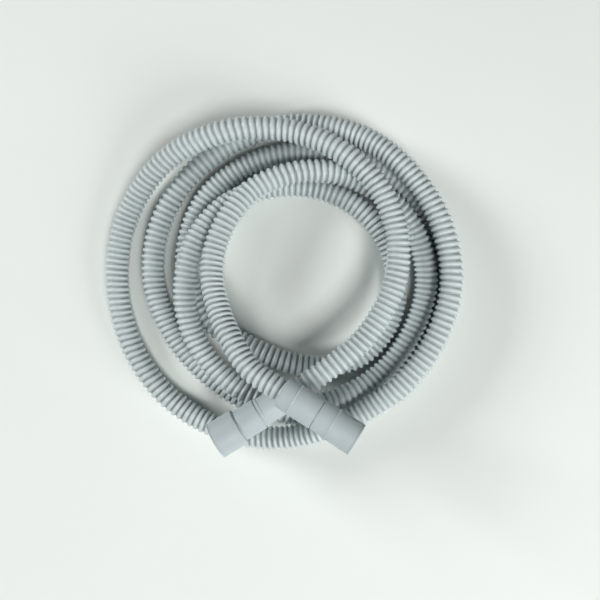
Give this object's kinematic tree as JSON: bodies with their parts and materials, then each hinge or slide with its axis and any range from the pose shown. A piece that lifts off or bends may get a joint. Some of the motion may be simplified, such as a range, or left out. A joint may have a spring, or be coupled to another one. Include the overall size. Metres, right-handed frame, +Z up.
{
  "type": "dishwasher drain hose",
  "caption": "Grey corrugated plastic drain hose lying in a loose flat coil, with a smooth stepped cuff on one end and a near-straight cuff on the other",
  "frame": {"origin": "On the table, under the middle of the coil's bounding box", "axes": "+Z is up from the table the coil lies on; +X is the coil's longest way across, towards the straight cuff's side; +Y points away from the cuffs"},
  "size_m": [0.2786, 0.2587, 0.0882],
  "materials": {
    "hose_plastic": "satin light cool grey",
    "cuff_plastic": "smooth matt blue-grey"
  },
  "bodies": {
    "root": {"corrugated_hose": "hose_plastic", "stepped_cuff": "cuff_plastic", "straight_cuff": "cuff_plastic"}
  },
  "joints": []
}
